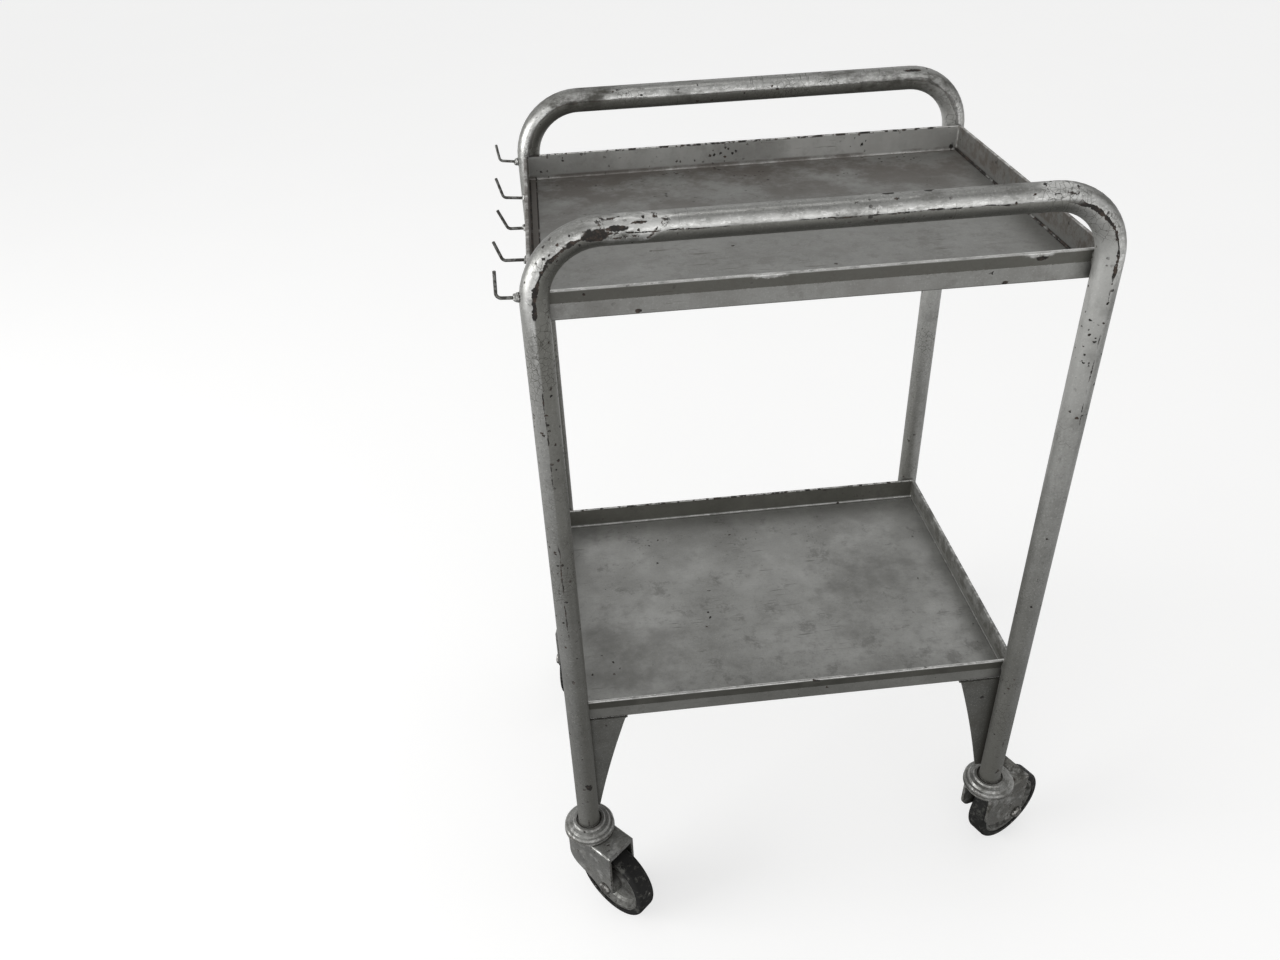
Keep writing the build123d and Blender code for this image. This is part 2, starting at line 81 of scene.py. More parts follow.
class Finish:
    """One node material. Each method adds nodes and returns the socket to go on from."""

    def __init__(self, name):
        self.material = bpy.data.materials.new(name)
        self.material.use_nodes = True
        self.tree = self.material.node_tree
        self.shader = self.tree.nodes["Principled BSDF"]
        self.place = self.add("ShaderNodeTexCoord").outputs["Object"]

    def add(self, kind, inputs=None, **settings):
        node = self.tree.nodes.new(kind)
        for key, value in settings.items():
            setattr(node, key, value)
        for key, value in (inputs or {}).items():
            self.feed(node.inputs[key], value)
        return node

    def feed(self, socket, value):
        if isinstance(value, bpy.types.NodeSocket):
            self.tree.links.new(value, socket)
        else:
            socket.default_value = value

    def math(self, operation, first, second=0.0):
        node = self.add("ShaderNodeMath", {0: first, 1: second}, operation=operation)
        return node.outputs[0]

    def times(self, *values):
        total = values[0]
        for value in values[1:]:
            total = self.math("MULTIPLY", total, value)
        return total

    def most(self, *values):
        total = values[0]
        for value in values[1:]:
            total = self.math("MAXIMUM", total, value)
        return total

    def less(self, value):
        """1 minus the value."""
        return self.math("SUBTRACT", 1.0, value)

    def band(self, value, low, high, top=1.0):
        """0 at low, rising smoothly to top at high; low may be the larger."""
        inputs = {"Value": value, "From Min": low, "From Max": high, "To Max": top}
        node = self.add("ShaderNodeMapRange", inputs, interpolation_type="SMOOTHSTEP")
        return node.outputs["Result"]

    def mix(self, factor, first, second):
        node = self.add("ShaderNodeMix", data_type="RGBA")
        for index, value in ((0, factor), (6, first), (7, second)):
            if isinstance(value, tuple):
                value = (*value, 1.0)
            self.feed(node.inputs[index], value)
        return node.outputs[2]

    def blend(self, factor, first, second):
        """A number that goes from first to second."""
        node = self.add("ShaderNodeMix", data_type="FLOAT")
        for index, value in ((0, factor), (2, first), (3, second)):
            self.feed(node.inputs[index], value)
        return node.outputs[0]

    def moved(self, scale=(1, 1, 1), turn=(0, 0, 0), shift=(0, 0, 0)):
        """The place, stretched, turned and shifted."""
        inputs = {"Vector": self.place, "Scale": scale, "Rotation": turn, "Location": shift}
        return self.add("ShaderNodeMapping", inputs).outputs["Vector"]

    def noise(self, scale, detail=3.0, roughness=0.55, at=None, distortion=0.0):
        inputs = {
            "Vector": at or self.place, "Scale": scale, "Detail": detail,
            "Roughness": roughness, "Distortion": distortion,
        }
        return self.add("ShaderNodeTexNoise", inputs).outputs["Fac"]

    def axes(self):
        """X, Y and Z of the place."""
        node = self.add("ShaderNodeSeparateXYZ", {"Vector": self.place})
        return node.outputs[0], node.outputs[1], node.outputs[2]

    def facing(self):
        """X, Y and Z of the way the surface faces."""
        normal = self.add("ShaderNodeNewGeometry").outputs["True Normal"]
        node = self.add("ShaderNodeSeparateXYZ", {"Vector": normal})
        return node.outputs[0], node.outputs[1], node.outputs[2]

    def ragged(self, amount, scale):
        """The place pushed about by a noise, for outlines that are not smooth."""
        inputs = {"Vector": self.place, "Scale": scale, "Detail": 3.0}
        colour = self.add("ShaderNodeTexNoise", inputs).outputs["Color"]
        centred = self.add(
            "ShaderNodeVectorMath", {0: colour, 1: (0.5, 0.5, 0.5)}, operation="SUBTRACT"
        ).outputs[0]
        pushed = self.add(
            "ShaderNodeVectorMath", {0: centred, "Scale": amount}, operation="SCALE"
        ).outputs[0]
        return self.add("ShaderNodeVectorMath", {0: self.place, 1: pushed}).outputs[0]

    def near(self, centre, radius, soft=0.5, stretch=(1, 1, 1)):
        """1 at the centre and 0 beyond the radius, with a ragged outline."""
        rough = self.ragged(radius * 1.2, 1.1 / radius)
        away = self.add(
            "ShaderNodeVectorMath", {0: rough, 1: tuple(centre)}, operation="SUBTRACT"
        ).outputs[0]
        scaled = self.add(
            "ShaderNodeVectorMath", {0: away, 1: stretch}, operation="MULTIPLY"
        ).outputs[0]
        length = self.add("ShaderNodeVectorMath", {0: scaled}, operation="LENGTH")
        return self.band(length.outputs["Value"], radius, radius * (1 - soft))

    def patches(self, places, soft):
        """1 in each of the places: centre, radius, and how the patch is drawn out."""
        total = 0.0
        for centre, radius, stretch in places:
            total = self.most(total, self.near(centre, radius, soft, stretch))
        return total

    def chips(self, scale, share, size=0.32, stretch=(1, 1, 1), seed=0.0):
        """Scattered chips, scale cells to the metre; about that share of them has a chip."""
        rough = self.ragged(0.9 / scale, scale * 1.6)
        at = self.add(
            "ShaderNodeMapping",
            {"Vector": rough, "Scale": stretch, "Location": (seed, -seed, seed / 2)},
        ).outputs["Vector"]
        cells = self.add("ShaderNodeTexVoronoi", {"Vector": at, "Scale": scale})
        chance = self.add("ShaderNodeSeparateXYZ", {"Vector": cells.outputs["Color"]})
        reach = self.band(chance.outputs[0], self.less(share), 1.0, size)
        gap = self.math("SUBTRACT", reach, cells.outputs["Distance"])
        return self.band(gap, 0.0, 0.05)

    def edges(self, radius, low=0.02, high=0.2):
        """1 on the part's own sharp edges, out to that radius."""
        rounded = self.add("ShaderNodeBevel", {"Radius": radius}, samples=4)
        flat = self.add("ShaderNodeNewGeometry")
        dot = self.add(
            "ShaderNodeVectorMath",
            {0: rounded.outputs[0], 1: flat.outputs["Normal"]}, operation="DOT_PRODUCT",
        ).outputs["Value"]
        return self.band(self.less(dot), low, high)

    def hollow_dirt_and_shade(self, distance, low=0.35, high=0.9):
        """1 deep in corners and gaps, 0 in the open; what it darkens is painted shade along with
        soiling.
        """
        open_sky = self.add("ShaderNodeAmbientOcclusion", {"Distance": distance}, samples=6)
        return self.band(open_sky.outputs["AO"], high, low)

    def cracks(self, scale, width=0.05):
        """A net of hairline cracks, scale cells to the metre."""
        at = self.ragged(0.5 / scale, scale * 1.3)
        net = self.add(
            "ShaderNodeTexVoronoi", {"Vector": at, "Scale": scale}, feature="DISTANCE_TO_EDGE"
        )
        return self.band(net.outputs["Distance"], width, width * 0.3)

    def round_the_tube(self, hoop):
        """Where a point is round a hoop's tube: how far it faces out of the hoop, and how far
        it faces front, each from -1 to 1."""
        along, across, height = self.axes()
        from_middle = self.math("ABSOLUTE", self.math("SUBTRACT", along, MIDDLE_X))
        past_x = self.math("MAXIMUM", self.math("SUBTRACT", from_middle, HALF_X - BEND_R), 0.0)
        past_z = self.math("MAXIMUM", self.math("SUBTRACT", height, RAIL_Z - BEND_R), 0.0)
        squares = self.math("ADD", self.times(past_x, past_x), self.times(past_z, past_z))
        off = self.math("SUBTRACT", self.math("SQRT", squares), BEND_R)
        outward = self.math("DIVIDE", off, TUBE_R)
        forward = self.math("DIVIDE", self.math("SUBTRACT", hoop.y, across), TUBE_R)
        return outward, forward

    def bump(self, *layers):
        """Relief in metres: pairs of a height socket and how far it stands up."""
        normal = None
        for height, depth in layers:
            inputs = {"Height": height, "Distance": depth, "Strength": 1.0}
            if normal is not None:
                inputs["Normal"] = normal
            normal = self.add("ShaderNodeBump", inputs).outputs["Normal"]
        self.feed(self.shader.inputs["Normal"], normal)

    def surface(self, colour, metallic, roughness):
        self.feed(self.shader.inputs["Base Color"], colour)
        self.feed(self.shader.inputs["Metallic"], metallic)
        self.feed(self.shader.inputs["Roughness"], roughness)
        return self.material


# ---- paint --------------------------------------------------------------------------------
def painted(name, along, chips, grime_and_shade, polish_and_highlight, wear, shade=None, pale=None,
            base=SILVER, dull=SILVER_DULL, grime_and_shade_colour=GRIME_AND_SHADE, fleck=1.0):
    """Brushed aluminium paint over steel. along is how closely the brush's marks lie on each
    axis. chips, grime_and_shade, polish_and_highlight, shade and pale are functions that take
    the finish and give a socket each: where the paint is gone, where it is dirty and where
    shade is painted into hollows and along walls, where it is worn bright and where a
    highlight is painted, where painted shade darkens it towards SHADE_OLIVE, and where light
    is painted on, turning it pale and flat. wear is how much of the paint on the sharp edges
    is gone, grime_and_shade_colour the colour of the soiling and of its painted shade, and
    fleck how speckled the paint is."""
    f = Finish(name)
    clouds = f.band(f.noise(7.0, 4.0, 0.62), 0.34, 0.66)
    brush = f.noise(1.0, 3.0, 0.6, f.moved(scale=along))
    pepper = f.noise(430.0, 3.0, 0.7)
    tone = f.mix(f.math("MULTIPLY", clouds, 0.6), base, dull)
    tone = f.mix(f.band(pepper, 0.50, 0.70, 0.42 * fleck), tone, (0.12, 0.12, 0.11))
    bright_pepper = f.noise(520.0, 3.0, 0.7, f.moved(shift=(3, 3, 3)))
    tone = f.mix(f.band(bright_pepper, 0.54, 0.70, 0.50 * fleck), tone, (0.62, 0.62, 0.60))
    tone = f.mix(f.band(brush, 0.58, 0.75, 0.25), tone, (0.19, 0.19, 0.18))
    # painted shade: the shade mask darkens the paint towards SHADE_OLIVE
    if shade:
        tone = f.mix(shade(f), tone, SHADE_OLIVE)
    # painted light: where pale gives, the paint turns pale and flat
    flat = pale(f) if pale else 0.0
    tone = f.mix(flat, tone, (0.56, 0.56, 0.54))
    # worn bright paint and painted highlight
    rub_and_highlight = polish_and_highlight(f)
    worn = f.noise(120.0, 4.0, 0.68, f.moved(scale=(0.4, 1, 1)))
    rubbed_and_highlit = f.times(rub_and_highlight, f.band(worn, 0.28, 0.58))
    tone = f.mix(rubbed_and_highlit, tone, (0.70, 0.70, 0.68))
    # near-white specks in those places: bright flakes of paint in worn spots, painted glints in the
    # highlight
    flecks_and_glints = f.band(f.noise(300.0, 4.0, 0.75, f.moved(scale=(0.5, 1, 1))), 0.55, 0.60)
    tone = f.mix(f.times(rub_and_highlight, flecks_and_glints, 0.8), tone, FLAKE_AND_GLINT)
    edge = f.edges(0.0016)
    bare_from = 0.62 - wear * 0.3
    bare = f.times(edge, f.band(f.noise(210.0, 4.0, 0.7), bare_from, bare_from + 0.08))
    tone = f.mix(bare, tone, BARE_STEEL)
    # dirty places and painted shade, both taken towards grime_and_shade_colour
    dirt_and_shade = grime_and_shade(f)
    tone = f.mix(dirt_and_shade, tone, grime_and_shade_colour)
    torn = f.band(f.noise(330.0, 3.0, 0.65), 0.66 - wear * 0.2, 0.70 - wear * 0.2)
    gone = f.most(chips(f), f.times(edge, torn))
    rust = f.mix(f.band(f.noise(150.0, 4.0, 0.7), 0.46, 0.62), RUST_DARK, RUST_BROWN)
    colour = f.mix(gone, tone, rust)
    dead = f.most(gone, dirt_and_shade)
    metallic = f.blend(f.most(gone, f.times(dirt_and_shade, 0.75), f.times(flat, 0.6)), 0.72, 0.0)
    rough = f.blend(f.band(f.noise(38.0, 4.0, 0.65), 0.3, 0.7), 0.30, 0.44)
    rough = f.blend(f.most(bare, rubbed_and_highlit), rough, 0.33)
    rough = f.blend(dead, rough, 0.74)
    f.bump(
        (f.noise(260.0, 2.0), 0.00010), (brush, 0.00006),
        (f.noise(30.0, 2.0), 0.0003), (f.less(gone), 0.00025), (pepper, 0.00005 * fleck),
    )
    return f.surface(colour, metallic, rough)


def hoop_finish(name, hoop, seam, dirty, marks, flaked=(), glints=()):
    """The paint of one hoop. seam is how chipped the line along the front of its tube is, and
    dirty how grimy its rail is. marks are places where the paint has come away down to rust,
    flaked ones where it has lifted in bright flakes, and glints where a highlight is painted
    beside the line. Each place is a centre, a radius, and how the patch is drawn out."""
    def chips(f):
        outward, forward = f.round_the_tube(hoop)
        along, _, height = f.axes()
        ahead = f.band(forward, 0.45, 0.8)
        from_middle = f.math("ABSOLUTE", f.math("SUBTRACT", along, MIDDLE_X))
        at_ends = f.band(from_middle, HALF_X - 1.3 * BEND_R, HALF_X - 0.7 * BEND_R)
        above_legs = f.band(height, RAIL_Z - 1.35 * BEND_R, RAIL_Z - 1.0 * BEND_R)
        bends = f.times(at_ends, above_legs)
        wander = f.band(f.noise(26.0, 3.0, 0.6), 0.3, 0.7, 0.12)
        line = f.math("ABSOLUTE", f.math("SUBTRACT", outward, wander))
        wide = f.math("ADD", f.times(bends, 0.10), 0.075)
        width = f.times(f.band(f.noise(70.0, 4.0, 0.7), 0.36, 0.62), wide)
        width = f.math("ADD", width, f.times(bends, 0.05))
        broken = f.band(f.noise(230.0, 3.0, 0.7, f.moved(scale=(0.6, 1, 0.6))), 0.36, 0.44)
        broken = f.most(broken, f.times(bends, f.band(f.noise(60.0, 2.0), 0.36, 0.44)))
        solid = f.most(f.times(bends, 0.22), f.band(height, RAIL_Z - 0.4 * BEND_R, RAIL_Z, 0.16))
        length = f.math("ADD", f.noise(11.0, 3.0, 0.6), solid)
        stretch = f.band(length, 0.56, 0.62)
        thin = f.math("SUBTRACT", width, line)
        seam_chips = f.times(f.band(thin, 0.0, 0.02), ahead, stretch, broken, seam)
        patchy = f.band(f.noise(11.0, 3.0, 0.6), 0.48, 0.62)
        few = f.chips(190.0, 0.07, 0.34)
        many = f.times(f.chips(300.0, 0.30, 0.40, (0.6, 1, 0.8), 3.1), patchy)
        big = f.times(
            f.chips(80.0, 0.10, 0.30, (0.6, 1, 0.7), 5.7), f.band(f.noise(6.0, 2.0), 0.5, 0.6)
        )
        off_rim = f.math("ABSOLUTE", f.math("SUBTRACT", f.patches(flaked, 0.9), 0.35))
        torn = f.band(f.noise(180.0, 4.0, 0.7), 0.48, 0.54)
        rims = f.times(f.band(off_rim, 0.16, 0.05), torn)
        return f.most(few, many, big, seam_chips, rims, f.patches(marks, 0.2))

    def grime_and_shade(f):
        _, _, height = f.axes()
        # the legs darker towards the bottom
        foot = f.band(height, 0.34, 0.13)
        on_top = f.band(height, RAIL_Z - BEND_R, RAIL_Z, dirty)
        streaks = f.noise(42.0, 5.0, 0.70, f.moved(scale=(0.35, 1, 0.5)))
        smears = f.times(f.band(streaks, 0.46, 0.68), f.most(on_top, 0.30))
        hair = f.times(f.cracks(170.0), f.band(f.noise(17.0, 3.0), 0.50, 0.62), 0.7)
        across = f.band(f.noise(1.0, 2.0, 0.5, f.moved(scale=(760, 45, 45))), 0.60, 0.70)
        rings = f.times(across, f.band(f.noise(15.0, 3.0), 0.45, 0.6), on_top, 0.8)
        # the hollows take painted shade as well as soiling
        return f.most(f.hollow_dirt_and_shade(0.009), f.times(foot, 0.55), smears, hair, rings)

    # Painted shade: the tube's side below its front line is darkened, sharply high up and softly
    # low on the legs, and less on the right leg.
    def shade(f):
        outward, forward = f.round_the_tube(hoop)
        along, _, height = f.axes()
        sharp = f.band(outward, 0.10, -0.02, 0.62)
        soft = f.band(outward, 0.45, -0.45, 0.50)
        inner = f.blend(f.band(height, 0.45, 0.75), soft, sharp)
        right_leg = f.band(along, RIGHT_X - BEND_R, RIGHT_X - 0.3 * BEND_R, 0.80)
        lighter = f.less(f.times(right_leg, f.band(height, 0.25, 0.60)))
        return f.times(inner, f.band(forward, -0.6, 0.1), lighter)

    # Painted light: the inner side of the right leg is made pale and flat high up.
    def pale(f):
        outward, _ = f.round_the_tube(hoop)
        along, _, height = f.axes()
        right_leg = f.band(along, RIGHT_X - BEND_R, RIGHT_X - 0.3 * BEND_R)
        up_the_leg = f.band(height, 0.45, 0.82, 0.60)
        return f.times(right_leg, up_the_leg, f.band(outward, 0.42, 0.10))

    # Worn bright paint and a painted highlight (shine) along the rail's front, a painted highlight
    # beside the line at the glints (lit), and the flaked patches.
    def polish_and_highlight(f):
        outward, forward = f.round_the_tube(hoop)
        _, _, height = f.axes()
        rail = f.band(height, RAIL_Z - BEND_R * 1.6, RAIL_Z - BEND_R * 0.8)
        side = f.times(f.band(outward, 0.06, 0.14), f.band(outward, 0.80, 0.45))
        shine = f.times(side, f.band(forward, 0.2, 0.7), rail, 0.75)
        streak = f.times(f.band(outward, 0.07, 0.12), f.band(outward, 0.42, 0.28))
        lit = f.times(streak, f.band(forward, 0.5, 0.8), f.patches(glints, 0.7))
        shine = f.most(shine, lit)
        return f.most(shine, f.patches(flaked, 0.5))

    return painted(name, (60, 260, 60), chips, grime_and_shade, polish_and_highlight, 0.2, shade, pale)


def sheet_finish(
    name, low, high, base, grime_and_shade_colour, stain_back, clouds, hem_dark,
    wall_dark=0.0, back_painted_light=0.0, back_dark=0.0, marks=(), flaked=(),
):
    """The paint of a tray, low and high being its box: stains towards the back and clouds of
    soiling, a band of painted shade on the floor along the left wall, the rim's top worn
    bright with a painted highlight, a painted highlight along the fold at the back wall's
    foot, painted shade on the hem, the wall under the hem darkened, and painted light
    (back_painted_light) and painted shade (back_dark) on the inside of the back wall. base and
    grime_and_shade_colour are the colours of the paint and of the soiling and painted shade.
    marks and flaked are places as on a hoop."""
    rim_z = high.z
    floor_z = low.z + SHEET
    hem_z = rim_z - HEM_DROP

    def from_sides(f):
        """How far in from the ends, from the left end, from the back, and how high."""
        along, across, height = f.axes()
        left = f.math("SUBTRACT", along, low.x)
        right = f.math("SUBTRACT", high.x, along)
        return f.math("MINIMUM", left, right), left, f.math("SUBTRACT", high.y, across), height

    def inside(f, height):
        """1 on the floor, 0 under the tray."""
        return f.band(height, floor_z - 0.0008, floor_z - 0.0002)

    def chips(f):
        ends, left, back, height = from_sides(f)
        _, across, _ = f.axes()
        behind = f.band(across, (low.y + high.y) / 2 - 0.02, high.y - 0.03)
        spots = f.chips(150.0, 0.06, 0.30)
        rusty = f.times(f.chips(230.0, 0.35, 0.42, seed=2.2), behind, stain_back)
        gate = f.band(f.noise(14.0, 3.0, 0.6), 0.48, 0.60)
        low_down = f.times(f.band(height, floor_z + 0.0026, floor_z + 0.0018), inside(f, height))
        torn = f.band(f.noise(130.0, 4.0, 0.7, f.moved(scale=(0.5, 0.5, 1))), 0.38, 0.46)
        fold = f.times(low_down, f.band(ends, 0.0060, 0.0054), torn, stain_back)
        line = f.math("ABSOLUTE", f.math("SUBTRACT", left, LEFT_WALL_SHADE_EDGE))
        shadow = f.times(f.band(line, 0.0010, 0.0006), low_down, torn, stain_back)
        nicked = f.chips(120.0, 0.16, 0.34, (0.5, 1, 1), 7.7)
        crest = f.times(f.band(height, rim_z - 0.003, rim_z - 0.001), f.band(back, 0.006, 0.004))
        ragged_crest = f.times(crest, f.band(f.noise(110.0, 4.0, 0.7), 0.50, 0.56))
        nicks = f.most(f.times(f.band(height, rim_z - 0.006, rim_z - 0.002), nicked), ragged_crest)
        scattered = f.times(f.most(spots, rusty), gate)
        return f.most(scattered, fold, shadow, nicks, f.patches(marks, 0.2))

    def grime_and_shade(f):
        ends, left, back, height = from_sides(f)
        _, across, _ = f.axes()
        on_floor = f.times(inside(f, height), f.band(height, floor_z + 0.004, floor_z + 0.003))
        behind = f.band(across, (low.y + high.y) / 2 - 0.08, high.y - 0.02)
        behind = f.times(behind, f.band(height, floor_z + 0.006, floor_z + 0.003))
        cloud = f.band(f.noise(9.0, 5.0, 0.68), 0.46, 0.70, clouds)
        fine = f.band(f.noise(70.0, 5.0, 0.72), 0.46, 0.70, 0.45)
        stain = f.times(behind, stain_back, f.band(f.noise(16.0, 5.0, 0.7), 0.30, 0.60))
        smudge = f.band(f.noise(24.0, 5.0, 0.75), 0.52, 0.68, clouds)
        hairs = f.noise(1.0, 2.0, 0.5, f.moved(scale=(30, 420, 420)))
        hairs = f.times(f.band(hairs, 0.62, 0.70, 0.5), f.band(f.noise(12.0, 3.0), 0.5, 0.62))
        # painted shade: a dark band on the floor along the foot of the left wall
        left_wall_shade = f.times(on_floor, f.band(left, LEFT_WALL_SHADE_EDGE + 0.0005, LEFT_WALL_SHADE_EDGE - 0.0002, 0.7), stain_back)
        # a dark line on the floor along the foot of the back wall
        line = f.times(f.band(back, 0.0085, 0.0068), f.band(back, 0.0050, 0.0058), 0.75)
        on_walls = f.band(ends, WALL_IN, WALL_IN - 0.0006)
        above = f.times(f.band(height, floor_z + 0.004, floor_z + 0.008), on_walls)
        mottled = f.times(above, f.band(f.noise(48.0, 5.0, 0.72), 0.34, 0.60), 0.8)
        back_line = f.times(on_floor, line)
        stains = f.most(f.times(stain, 0.75), f.times(fine, 0.5), smudge, hairs)
        return f.most(cloud, stains, mottled, left_wall_shade, back_line)

    # Painted shade: the hem, which leans down, and the inside of the back wall are darkened towards
    # SHADE_OLIVE as much as hem_dark and back_dark ask; wall_dark darkens the wall under the hem
    # and the underside the same way.
    def shade(f):
        _, _, back, height = from_sides(f)
        _, _, up = f.facing()
        on_hem = f.band(height, hem_z - 0.0004, hem_z + 0.0004)
        under_hem = f.band(height, hem_z + 0.0004, hem_z - 0.0004)
        hem = f.times(on_hem, f.band(up, -0.03, -0.10), hem_dark)
        below = f.times(under_hem, f.band(up, 0.5, 0.1), wall_dark)
        outside = f.band(height, floor_z, floor_z - 0.001)
        above_fold = f.band(height, floor_z + 0.0024, floor_z + 0.0030)
        behind = f.times(above_fold, f.band(back, 0.0056, 0.0048))
        return f.most(hem, below, f.times(outside, wall_dark), f.times(behind, back_dark))

    # The rim's top, where it faces up, is worn bright and given a painted highlight; fold is a
    # painted highlight along the foot of the back wall.
    def polish_and_highlight(f):
        _, _, back, height = from_sides(f)
        _, _, up = f.facing()
        crest = f.times(f.band(height, rim_z - 0.0030, rim_z - 0.0012), f.band(up, 0.25, 0.6))
        fold = f.times(inside(f, height), f.band(height, floor_z + 0.0022, floor_z + 0.0016))
        fold = f.times(fold, f.band(back, 0.0054, 0.0050), 0.8)
        return f.most(crest, fold, f.patches(flaked, 0.5))

    # Painted light: the inside of the back wall, where it faces in, is made pale and flat, as much
    # as back_painted_light asks.
    def pale(f):
        _, _, back, height = from_sides(f)
        off_floor = f.band(height, floor_z + 0.0004, floor_z + 0.0014)
        wall = f.times(off_floor, f.band(back, 0.0056, 0.0044))
        facing_in = f.band(f.facing()[1], -0.2, -0.5)
        # worn is only a noise that leaves patches without the painted light
        worn = f.band(f.noise(9.0, 4.0, 0.6, f.moved(scale=(1, 1, 0.4))), 0.38, 0.62, 0.55)
        return f.times(wall, facing_in, f.less(worn), back_painted_light)

    return painted(
        name, (90, 320, 90), chips, grime_and_shade, polish_and_highlight, 0.45, shade, pale, base, grime_and_shade_colour=grime_and_shade_colour, fleck=0.35
    )


def nowhere(f):
    return 0.0


def plain_paint(name, wear, dirty, base=SILVER_DULL, dull=SILVER_DARK):
    """The paint of the gussets and the weld beads."""
    def chips(f):
        return f.chips(140.0, 0.06, 0.32)

    def grime_and_shade(f):
        # the hollows take painted shade as well as soiling
        return f.most(f.hollow_dirt_and_shade(0.01), f.band(f.noise(30.0, 4.0, 0.65), 0.35, 0.75, dirty))

    return painted(name, (80, 80, 260), chips, grime_and_shade, nowhere, wear, base=base, dull=dull)


def castor_paint(name, dirty, base=SILVER):
    """The paint of the cups and forks, worn through on every ridge and fold."""
    def chips(f):
        spots = f.times(f.chips(190.0, 0.26, 0.36), f.band(f.noise(28.0, 3.0), 0.43, 0.58))
        return f.most(spots, f.band(f.noise(75.0, 5.0, 0.75), 0.60, 0.66, dirty))

    def grime_and_shade(f):
        _, _, height = f.axes()
        # darker low down
        low = f.band(height, 0.085, 0.045, 0.35)
        # painted shade under the fork's plate and round the tyre, and in small hollows
        shaded_hollows = f.most(f.hollow_dirt_and_shade(0.006), f.hollow_dirt_and_shade(0.030, 0.30, 0.62))
        return f.most(shaded_hollows, low, f.band(f.noise(60.0, 5.0, 0.72), 0.44, 0.68, dirty))

    def polish_and_highlight(f):
        return f.band(f.noise(55.0, 4.0, 0.7), 0.50, 0.66, 0.6)

    return painted(name, (200, 200, 90), chips, grime_and_shade, polish_and_highlight, 1.0, base=base)


# ---- the other finishes -------------------------------------------------------------------
def wire_finish():
    f = Finish("hook_wire_finish")
    left = f.band(f.noise(240.0, 3.0, 0.6), 0.46, 0.56)
    tone = f.mix(left, (0.075, 0.073, 0.066), (0.20, 0.20, 0.19))
    rust = f.band(f.noise(420.0, 3.0, 0.6), 0.58, 0.68)
    colour = f.mix(rust, tone, RUST_BROWN)
    f.bump((left, 0.0001), (f.noise(900.0, 2.0), 0.00005))
    return f.surface(colour, f.blend(rust, 0.6, 0.05), f.blend(left, 0.55, 0.40))


def steel_finish():
    f = Finish("bare_steel_finish")
    dull = f.band(f.noise(130.0, 4.0, 0.65), 0.38, 0.62)
    tone = f.mix(dull, (0.42, 0.41, 0.39), (0.20, 0.195, 0.18))
    # the tiny hollows take painted shade as well as soiling
    dirt_and_shade = f.most(f.hollow_dirt_and_shade(0.004), f.band(f.noise(260.0, 3.0), 0.46, 0.62, 0.85))
    colour = f.mix(dirt_and_shade, tone, RUST_DARK)
    f.bump((f.noise(700.0, 2.0), 0.00004), (f.noise(120.0, 2.0), 0.00008))
    return f.surface(colour, f.blend(dirt_and_shade, 0.95, 0.2), f.blend(dull, 0.32, 0.5))


def wheel_finish():
    f = Finish("wheel_centre_finish")
    cast = f.noise(180.0, 3.0, 0.6)
    tone = f.mix(f.band(cast, 0.4, 0.65), (0.20, 0.20, 0.188), (0.11, 0.11, 0.10))
    # painted shade in the hollows and under the fork, which takes the centre towards near black
    shaded_hollows = f.most(f.hollow_dirt_and_shade(0.012, 0.3, 0.8), f.hollow_dirt_and_shade(0.035, 0.2, 0.55))
    dirt_and_shade = f.most(shaded_hollows, f.band(f.noise(70.0, 5.0, 0.72), 0.42, 0.66, 0.85))
    colour = f.mix(dirt_and_shade, tone, (0.030, 0.028, 0.024))
    chips = f.chips(260.0, 0.16, 0.34)
    colour = f.mix(chips, colour, RUST_DARK)
    bare = f.times(f.edges(0.0014), f.band(f.noise(160.0, 3.0), 0.46, 0.56))
    colour = f.mix(bare, colour, (0.45, 0.45, 0.43))
    f.bump((cast, 0.00012), (f.less(chips), 0.0001))
    return f.surface(colour, f.blend(dirt_and_shade, 0.45, 0.0), f.blend(dirt_and_shade, 0.42, 0.75))


def rubber_finish():
    f = Finish("rubber_finish")
    scuff = f.band(f.noise(70.0, 5.0, 0.75), 0.54, 0.62)
    streak = f.band(f.noise(1.0, 3.0, 0.6, f.moved(scale=(150, 150, 420))), 0.56, 0.68)
    tone = f.mix(f.times(scuff, 0.55), (0.010, 0.010, 0.0095), (0.11, 0.11, 0.10))
    tone = f.mix(f.times(streak, 0.25), tone, (0.15, 0.145, 0.13))
    pits = f.chips(260.0, 0.30, 0.38)
    flecks = f.chips(230.0, 0.08, 0.34, seed=4.4)
    colour = f.mix(pits, tone, (0.004, 0.004, 0.004))
    colour = f.mix(flecks, colour, (0.26, 0.25, 0.23))
    f.bump((f.noise(420.0, 4.0, 0.7), 0.00018), (scuff, 0.0003), (f.less(pits), 0.0004))
    f.shader.inputs["Specular IOR Level"].default_value = 0.25
    return f.surface(colour, 0.0, f.blend(scuff, 0.68, 0.9))


# ---- giving the CAD nodes their finish ----------------------------------------------------
def give(names, material):
    for name in names:
        mesh = nodes[name].data
        mesh.materials.clear()
        mesh.materials.append(material)


def every(stem):
    return [f"{stem}_{corner}" for corner in CORNERS]


